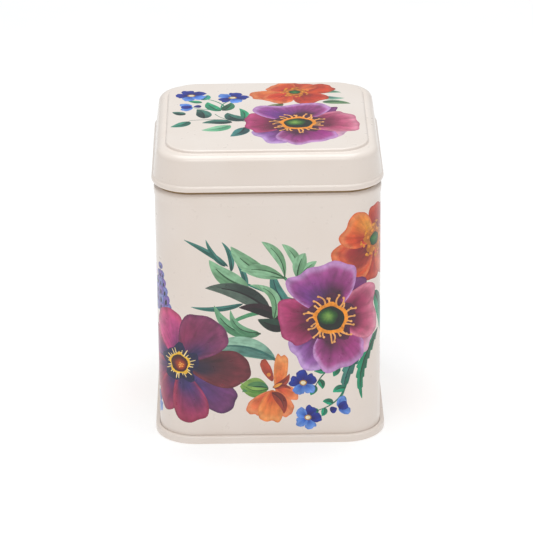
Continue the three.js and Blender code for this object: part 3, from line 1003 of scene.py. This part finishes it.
class Nodes:
    """Short ways to build a node material."""

    def __init__(self, name):
        self.material = bpy.data.materials.new(name)
        self.material.use_nodes = True
        self.tree = self.material.node_tree
        self.shader = self.tree.nodes["Principled BSDF"]

    def add(self, kind, **settings):
        node = self.tree.nodes.new(kind)
        for key, value in settings.items():
            if hasattr(node, key):
                setattr(node, key, value)
            else:
                node.inputs[key.replace("_", " ")].default_value = value
        return node

    def feed(self, socket, value):
        """Links a socket to another one, or gives it a constant."""
        if isinstance(value, bpy.types.NodeSocket):
            self.tree.links.new(value, socket)
        else:
            socket.default_value = value

    def finish(self, **inputs):
        """Sets the shader's inputs, whose spaces are underscores here, and gives the material."""
        for key, value in inputs.items():
            self.feed(self.shader.inputs[key.replace("_", " ")], value)
        return self.material

    def attribute(self, name):
        return self.add("ShaderNodeAttribute", attribute_name=name).outputs["Vector"]

    def noise(self, scale, detail=3.0, vector=None):
        node = self.add("ShaderNodeTexNoise", Scale=scale, Detail=detail)
        if vector is None:
            vector = self.add("ShaderNodeTexCoord").outputs["Object"]
        self.feed(node.inputs["Vector"], vector)
        return node.outputs["Fac"]

    def ramp(self, value, low, high, to_low=0.0, to_high=1.0):
        node = self.add("ShaderNodeMapRange", From_Min=low, From_Max=high)
        for name, end in (("Value", value), ("To Min", to_low), ("To Max", to_high)):
            self.feed(node.inputs[name], end)
        return node.outputs["Result"]

    def mix(self, factor, first, second, blend="MIX"):
        node = self.add("ShaderNodeMix", data_type="RGBA", blend_type=blend)
        for socket, value in ((0, factor), (6, first), (7, second)):
            self.feed(node.inputs[socket], value)
        return node.outputs[2]

    def clouded(self, value, low, high, light, dark):
        """A light colour that clouds over to a dark one as a value rises from low to high."""
        return self.mix(self.ramp(value, low, high), swatch(light), swatch(dark))

    def bump(self, height, strength, distance):
        node = self.add("ShaderNodeBump", Strength=strength, Distance=distance)
        self.feed(node.inputs["Height"], height)
        return node.outputs["Normal"]


def swatch(code):
    return (*tint(code), 1.0)


def glaze(nodes, colour):
    """Clear stoving varnish over a colour: smooth, with a faint flow texture."""
    return nodes.finish(
        Base_Color=colour,
        Roughness=nodes.ramp(nodes.noise(420), 0.3, 0.7, 0.27, 0.35),
        Coat_Weight=0.35,
        Coat_Roughness=0.16,
        Specular_IOR_Level=0.45,
        Normal=nodes.bump(nodes.noise(900, 2.0), 0.06, 0.00004),
    )


def cream_lacquer():
    nodes = Nodes("cream_lacquer")
    return glaze(nodes, nodes.clouded(nodes.noise(55, 2.0), 0.35, 0.65, "EBDFD6", "E9DCD2"))


def printed_ink():
    """Watercolour inks: each shape's own colour, streaked along its grain and granulated."""
    nodes = Nodes("printed_ink")
    streaks = nodes.noise(1.0, 5.0, nodes.attribute("ink_grain"))
    streaks = nodes.ramp(streaks, 0.42, 0.76, 0.0, 0.65)
    washed = nodes.mix(streaks, nodes.attribute("ink"), nodes.attribute("ink_dark"))
    pools = nodes.ramp(nodes.noise(330, 6.0), 0.34, 0.68, 0.82, 1.16)
    tone = nodes.add("ShaderNodeCombineColor")
    for channel in ("Red", "Green", "Blue"):
        nodes.feed(tone.inputs[channel], pools)
    return glaze(nodes, nodes.mix(1.0, washed, tone.outputs["Color"], "MULTIPLY"))


def tinplate(name, light, dark, rough):
    """Bright tinned steel with the faint cloudiness of its tin coat."""
    nodes = Nodes(name)
    return nodes.finish(
        Base_Color=nodes.clouded(nodes.noise(90, 3.0), 0.3, 0.75, light, dark),
        Roughness=nodes.ramp(nodes.noise(700), 0.3, 0.7, rough, rough + 0.12),
        Metallic=1.0,
        Normal=nodes.bump(nodes.noise(300, 2.0), 0.04, 0.00004),
    )


def lining_compound():
    nodes = Nodes("lining_compound")
    return nodes.finish(
        Base_Color=nodes.clouded(nodes.noise(2200, 3.0), 0.4, 0.6, "7A7D7E", "686B6C"),
        Roughness=0.75,
        Normal=nodes.bump(nodes.noise(1500, 2.0), 0.2, 0.00008),
    )


CREAM = cream_lacquer()
PRINTED = printed_ink()
INSIDE = tinplate("tinplate_inside", "CFCFCB", "BDBDB8", 0.3)
SIFTER_TIN = tinplate("sifter_tinplate", "D4D5D4", "C3C4C3", 0.24)
SHUTTER_TIN = tinplate("shutter_tinplate", "DADBDA", "CACBCA", 0.2)
# A gold size coat whose darkness is painted shade for the crevice under the lid's bead.
NECK_COAT_AND_PAINTED_SHADE = tinplate("gold_size_coat_and_painted_shade", "BDA47F", "B69C77", 0.4)
RIVET_STEEL = tinplate("rivet_steel", "C9CACA", "B4B5B6", 0.22)

# ---- Body ----


def groove(u):
    """How far the wall stands out at u: a hairline groove marks the locked side seam."""
    past = np.mod(u - LOCK_SEAM_U + GIRTH / 2, GIRTH) - GIRTH / 2
    return np.where(np.abs(past) < GROOVE_WIDTH / 2, -GROOVE_DEPTH, 0.0)


def grooved(z):
    return groove(STATIONS) * (z < RIDGE_Z)


def folded(z):
    """The seam's folded layers stand inwards, short of both ends of the wall."""
    past = STATIONS - LOCK_SEAM_U
    in_fold = (past < FOLD_WIDTH + 0.05) & (FOLD_LOW < z < FOLD_HIGH)
    return np.where(in_fold, -FOLD_DEPTH, 0.0)


def wall_place(plane):
    """Bends the flat sheet round the wall."""
    box, outward = around(plane[:, 0])
    reach = BODY_CORNER + groove(plane[:, 0])
    plan = (BODY_HALF - BODY_CORNER) * box + reach[:, None] * outward
    return np.column_stack([plan, plane[:, 1]]), level(outward, 0)


def upright(u, heights):
    return np.column_stack([np.full(len(heights), u), heights])


def wall_sheet():
    """The printed sheet's edge, its loose grid points, and the creases beside the side seam."""
    stations = np.append(STATIONS, LOCK_SEAM_U + GIRTH)
    heights = np.linspace(PRINT_FOOT, PRINT_TOP, 31)
    within = heights[1:-1]
    foot, top = level(stations, PRINT_FOOT), level(stations[::-1], PRINT_TOP)
    rim = np.vstack([foot, upright(stations[-1], within), top, upright(stations[0], within[::-1])])
    across, up = np.meshgrid(STATIONS[1:], within)
    loose = np.column_stack([across.ravel(), up.ravel()])
    sides = (GROOVE_WIDTH, GIRTH - GROOVE_WIDTH)
    return rim, loose, [upright(LOCK_SEAM_U + side, heights) for side in sides]


def make_body():
    """The wall: hooked foot, printed sheet, shoulder ridge, neck and curled mouth."""
    wall, neck, hook = BODY_HALF - SHEET / 2, NECK_HALF - SHEET / 2, SEAM_HALF - HOOK_INSET
    fold_ends = [z + side for z in (FOLD_LOW, FOLD_HIGH) for side in (-0.05, 0.05)]
    bulge, throat = np.linspace(0, math.pi, 6)[1:], np.linspace(0, math.pi, 7)[1:]
    shoulder, step = wall + RIDGE_OUT, (wall + RIDGE_OUT - neck) / 2
    foot = [(hook, HOOK_TOP), (hook, HOOK_LOW), (wall, HOOK_LOW)]
    foot += [(wall, z) for z in (*fold_ends, PRINT_TOP)]
    (inner, inner_lean), (outer, outer_lean) = thicken(
        foot,
        np.column_stack([wall + RIDGE_OUT * (1 - np.cos(bulge)) / 2, PRINT_TOP + 0.8 * bulge]),
        [(shoulder, RIDGE_Z - 0.3), (shoulder, RIDGE_Z + 0.1)],
        np.column_stack([neck + step * (1 + np.cos(throat)), RIDGE_Z + 0.1 + 0.54 * throat]),
        [(neck, NECK_Z + 0.2)],
        arc((neck - CURL, MOUTH_TOP - CURL - SHEET / 2), CURL, CURL, 0, 265, 20),
    )
    surface = Surface()
    print_sheet(surface, *wall_sheet(), wall_inks(), wall_place)
    above = slice(len(foot), None)
    outer_top = np.vstack([[(BODY_HALF, PRINT_TOP)], outer[above]])
    top_lean = np.vstack([[(1, 0)], outer_lean[above]])
    coated = int((outer_top[:, 1] < NECK_SHADE_LOW).sum())
    surface.sweep(outer_top[:coated], top_lean[:coated], concentric, CREAM, grooved)
    # Above the cream the neck takes the gold coat, made darker as painted shade under the lid's
    # bead.
    surface.sweep(outer_top[coated - 1 :], top_lean[coated - 1 :], concentric, NECK_COAT_AND_PAINTED_SHADE, grooved)
    surface.sweep([outer[-1], inner[-1]], [outer_lean[-1], inner_lean[-1]], concentric, INSIDE)
    surface.sweep(inner, inner_lean, concentric, INSIDE, folded)
    outer_foot = np.vstack([inner[:1], outer[:3], [(BODY_HALF, PRINT_FOOT)]])
    foot_lean = np.vstack([outer_lean[:1], outer_lean[:3], [(1, 0)]])
    surface.sweep(outer_foot, foot_lean, concentric, CREAM, grooved)
    return surface.make("printed_wall", [CREAM, PRINTED, INSIDE, NECK_COAT_AND_PAINTED_SHADE])


def dress(piece, node, body):
    """Puts a piece in place of its CAD node."""
    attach(piece, body)
    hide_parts(node)


dress(make_body(), "body_wall", "tin")

# ---- Seamed bottom end ----


def make_base():
    """The bottom end, whose rim is rolled over the foot of the wall."""
    upper, lower = thicken(
        [(29, 2.95), (30.4, 2.95), (31, 2.75), (31.6, 2.45)],
        arc((37.7, 1.75), 0.7, 0.7, 90, 0, 8),
        arc((38.75, 0.5), 0.35, 0.35, 180, 270, 6),
        arc((39.98, 0.6), 0.45, 0.45, 270, 360, 8),
        arc((40.03, 2.15), 0.4, 0.4, 0, 90, 8),
        [(39.27, 2.55), (39.27, 1.05)],
    )
    surface = Surface()
    surface.sheet((upper, lower), concentric, (INSIDE, CREAM), INSIDE)
    for (profile, _), facing, finish in ((upper, UP, INSIDE), (lower, DOWN, CREAM)):
        half, z = profile[0]
        surface.fan(ring(half, z, STATIONS, concentric(half)), facing, finish)
    return surface.make("seamed_bottom", [CREAM, INSIDE])


dress(make_base(), "base_end", "tin")
gasket_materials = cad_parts["seam_gasket"].data.materials
gasket_materials.clear()
gasket_materials.append(lining_compound())

# ---- Lid ----


def make_lid():
    """A slip lid: raised printed panel, rolled shoulder, leaning skirt and a beaded rim."""
    skirt, bead_top = SKIRT_FOOT_HALF - SHEET / 2, LID_FOOT + 2 * BEAD_HALF_HEIGHT
    panel_bend, panel_z, shoulder_bend = 0.55, LID_TOP - 0.7, SHOULDER_RADIUS - SHEET / 2
    shoulder = (SHOULDER_HALF, SHOULDER_Z - SHOULDER_RADIUS)
    bead = (BEAD_CENTRE_HALF, LID_FOOT + BEAD_HALF_HEIGHT)
    outer, inner = thicken(
        [(LID_PRINT_HALF, LID_TOP - SHEET / 2)],
        arc((PANEL_HALF - 2 * panel_bend, panel_z), panel_bend, panel_bend, 90, 20, 6),
        arc((PANEL_HALF, panel_z), panel_bend, panel_bend, 200, 270, 6),
        arc(shoulder, shoulder_bend, shoulder_bend, 90, 5, 14),
        [(skirt, bead_top + 0.5), (skirt + 0.04, bead_top + 0.1)],
        arc(bead, BEAD_HALF_WIDTH - SHEET / 2, BEAD_HALF_HEIGHT - SHEET / 2, 75, -200, 30),
    )
    surface = Surface()
    rim = ring(LID_PRINT_HALF, LID_TOP, STATIONS, lid_corner(LID_PRINT_HALF))[:, :2]
    axis = np.arange(-33, 34, 3.0)
    loose = np.stack(np.meshgrid(axis, axis), -1).reshape(-1, 2)
    loose = loose[inside(loose, rim * 0.97)]

    def place(plane):
        return level(plane, LID_TOP), level(0 * plane, 1.0)

    print_sheet(surface, rim, loose, [], lid_inks(), place)
    surface.sheet((outer, inner), lid_corner, (CREAM, INSIDE), CREAM)
    half, z = inner[0][0]
    surface.fan(ring(half, z, STATIONS, lid_corner(half)), DOWN, INSIDE)
    return surface.make("printed_lid", [CREAM, PRINTED, INSIDE])


dress(make_lid(), "lid_shell", "lid")

# ---- Sifter and shutter ----


def sifting_holes(turn):
    """Outlines of the sifting holes, turned about the middle."""
    outlines = []
    for radius in HOLE_RINGS:
        for i in range(HOLES_PER_RING):
            angle = turn + i * 2 * math.pi / HOLES_PER_RING
            centre = radius * np.array([math.cos(angle), math.sin(angle)])
            outlines.append(circle(centre, HOLE_RADIUS, 20))
    return outlines


def make_sifter():
    """The drawn sifter plate, hung in the mouth by its lip, with a pip that stops the shutter."""
    floor_half = 34.0
    upper, lower = thicken(
        [(floor_half, WELL_FLOOR - SHEET / 2)],
        arc((WELL_HALF - 0.6, WELL_FLOOR + 0.6), 0.75, 0.75, 270, 360, 8),
        arc((WELL_HALF + 0.75, MOUTH_TOP + 0.1), 0.6, 0.6, 180, 0, 14),
    )
    surface = Surface()
    surface.sheet((upper, lower), concentric, (SIFTER_TIN, SIFTER_TIN), SIFTER_TIN)
    rim = ring(floor_half, WELL_FLOOR, STATIONS, concentric(floor_half))[:, :2]
    pip = STOP_RADIUS * np.array([math.cos(STOP_TURN), math.sin(STOP_TURN)])
    bore = circle((0, 0), RIVET_BORE, 32)
    dent = circle(pip, PIP_RADIUS, 24)
    low = WELL_FLOOR - SHEET
    surface.plate(rim, [bore, *sifting_holes(0)], [dent], low, WELL_FLOOR, SIFTER_TIN)
    dome = arc((0, WELL_FLOOR), PIP_RADIUS, PIP_HEIGHT, 0, 80, 5)
    surface.fan(surface.turn(dome, SIFTER_TIN, pip, 24)[-1], UP, SIFTER_TIN)
    return surface.make("sifter_pan", [SIFTER_TIN])


def make_shutter():
    """The turning disc: holes that meet the sifter's when open, and an arc slot for the pip."""
    low, high = SHUTTER_LOW, SHUTTER_LOW + SHEET
    reach = math.asin(PIP_RADIUS / STOP_RADIUS) + math.radians(0.9)
    sweep = np.linspace(STOP_TURN - CLOSED_TURN - reach, STOP_TURN + reach, 24)
    slot_half = PIP_RADIUS + 0.25
    edge = np.column_stack([np.cos(sweep), np.sin(sweep)])
    slot = np.vstack([(STOP_RADIUS + slot_half) * edge, (STOP_RADIUS - slot_half) * edge[::-1]])
    rim = circle((0, 0), SHUTTER_RADIUS, 120)
    holes = [circle((0, 0), RIVET_BORE, 32), slot, *sifting_holes(CLOSED_TURN)]
    surface = Surface()
    surface.plate(rim, holes, [], low, high, SHUTTER_TIN)
    surface.wall(rim, low, high, 1, SHUTTER_TIN)
    return surface.make("shutter_plate", [SHUTTER_TIN])


def make_finger_tab():
    """The raised tab that a fingertip pushes: a rounded fin along a radius."""
    start, end, half, bevel, round_ = -17.0, -8.0, 0.3, 0.12, 1.2
    foot, head = SHUTTER_LOW + SHEET / 2, SHUTTER_TOP
    right = arc((end - round_, head - round_), round_, round_, 0, 90, 8)
    left = arc((start + round_, head - round_), round_, round_, 90, 180, 8)
    outline = np.vstack([[(end, foot)], right, left, [(start, foot)]])
    middle = outline.mean(0)
    facing = unit(outline - middle)
    surface = Surface()
    rings, leans = [], []
    for x, inset in ((-half, bevel), (bevel - half, 0), (half - bevel, 0), (half, bevel)):
        shrunk = middle + (outline - middle) * (1 - inset / np.ptp(outline, 0) * 2)
        rings.append(np.column_stack([np.full(len(shrunk), x), shrunk]))
        leans.append(np.column_stack([np.full(len(facing), np.sign(x) * inset * 8), facing]))
    surface.loft(rings, leans, SHUTTER_TIN)
    surface.fan(rings[0], (-1, 0, 0), SHUTTER_TIN)
    surface.fan(rings[-1], (1, 0, 0), SHUTTER_TIN)
    return surface.make("finger_tab", [SHUTTER_TIN])


def make_washer():
    low, high, bevel = WASHER_LOW, WASHER_HIGH, 0.06
    out, bore = WASHER_RADIUS, RIVET_BORE
    inside_edge = [(bore, high - bevel), (bore, low)]
    foot = [(out - bevel, low), (out, low + bevel)]
    head = [(out, high - bevel), (out - bevel, high), (bore + bevel, high), (bore, high - bevel)]
    surface = Surface()
    surface.turn(inside_edge + foot + head, RIVET_STEEL)
    return surface.make("spring_washer", [RIVET_STEEL])


def make_rivet():
    """The centre rivet: a spun tail under the sifter, a shank, and a low domed head."""
    head_z = WASHER_HIGH + 0.05
    head = arc((0, head_z), RIVET_HEAD, RIVET_HIGH - head_z, 0, 84, 9)
    tail_z, bevel = WELL_FLOOR - SHEET - 0.05, (RIVET_TAIL, RIVET_LOW + 0.25)
    tail = [(0.4, RIVET_LOW), (RIVET_TAIL - 0.3, RIVET_LOW), bevel, (RIVET_TAIL, tail_z)]
    surface = Surface()
    rings = surface.turn([*tail, (RIVET_SHANK, tail_z), (RIVET_SHANK, head_z), *head], RIVET_STEEL)
    surface.fan(rings[0], DOWN, RIVET_STEEL)
    surface.fan(rings[-1], UP, RIVET_STEEL)
    return surface.make("centre_rivet", [RIVET_STEEL])


dress(make_sifter(), "sifter_plate", "tin")
dress(make_washer(), "shutter_washer", "tin")
dress(make_rivet(), "shutter_rivet", "tin")
dress(make_shutter(), "shutter_disc", "shutter")
finger_tab = make_finger_tab()
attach(finger_tab, "shutter")

# ---- Studio ----


def make_floor():
    """A broad pale floor of matt paper, a little uneven in tone."""
    reach, row = 3, 41  # metres each way, and points in a row
    steps = np.linspace(-reach, reach, row)
    x, y = np.meshgrid(steps, steps)
    points = level(np.column_stack([x.ravel(), y.ravel()]), 0)
    mesh = bpy.data.meshes.new("studio_floor")
    quads = [(i, i + 1, i + row + 1, i + row) for i in range(row * row - row) if (i + 1) % row]
    mesh.from_pydata(points.tolist(), [], quads)
    nodes = Nodes("pale_paper")
    grain = nodes.ramp(nodes.noise(30), 0.3, 0.7)
    paper = nodes.finish(
        Base_Color=nodes.mix(grain, (0.62, 0.62, 0.62, 1), (0.6, 0.6, 0.6, 1)),
        Roughness=0.9,
        Specular_IOR_Level=0.1,
        Emission_Color=(1, 0.98, 0.96, 1),
        Emission_Strength=FLOOR_GLOW,
    )
    mesh.materials.append(paper)
    put("studio_floor", mesh)


def soft_box(name, place, size, watts, colour):
    """A rectangular lamp that faces the middle of the tin."""
    light = bpy.data.lights.new(name, "AREA")
    light.shape = "RECTANGLE"
    light.size, light.size_y = size
    light.energy = watts
    light.color = colour
    aim = Vector((0, 0, LID_TOP * MM / 2)) - Vector(place)
    lamp = put(name, light)
    lamp.location = place
    lamp.rotation_euler = aim.to_track_quat("-Z", "Y").to_euler()


make_floor()
soft_box("overhead_soft_box", (0, 0.05, 1.15), (1.0, 1.0), 10.2, (0.91, 0.97, 1.0))
soft_box("front_soft_box", (-0.06, -0.85, 0.9), (0.8, 0.4), 3.0, (1.0, 0.98, 0.95))

world = bpy.data.worlds.new("studio")
world.use_nodes = True
sky = world.node_tree.nodes["Background"].inputs
sky["Color"].default_value = (1, 1, 1, 1)
sky["Strength"].default_value = SKY_GLOW
scene = bpy.context.scene
scene.world = world
scene.view_settings.view_transform = "Standard"

camera_data = bpy.data.cameras.new("camera")
camera_data.lens = CAMERA_LENS
camera_data.clip_start = 0.05
camera = put("camera", camera_data)
yaw, pitch, roll = (Matrix.Rotation(turn, 4, axis) for turn, axis in CAMERA_TURNS)
camera.matrix_world = Matrix.Translation(CAMERA_PLACE) @ yaw @ pitch @ roll
scene.camera = camera

bpy.context.view_layer.update()
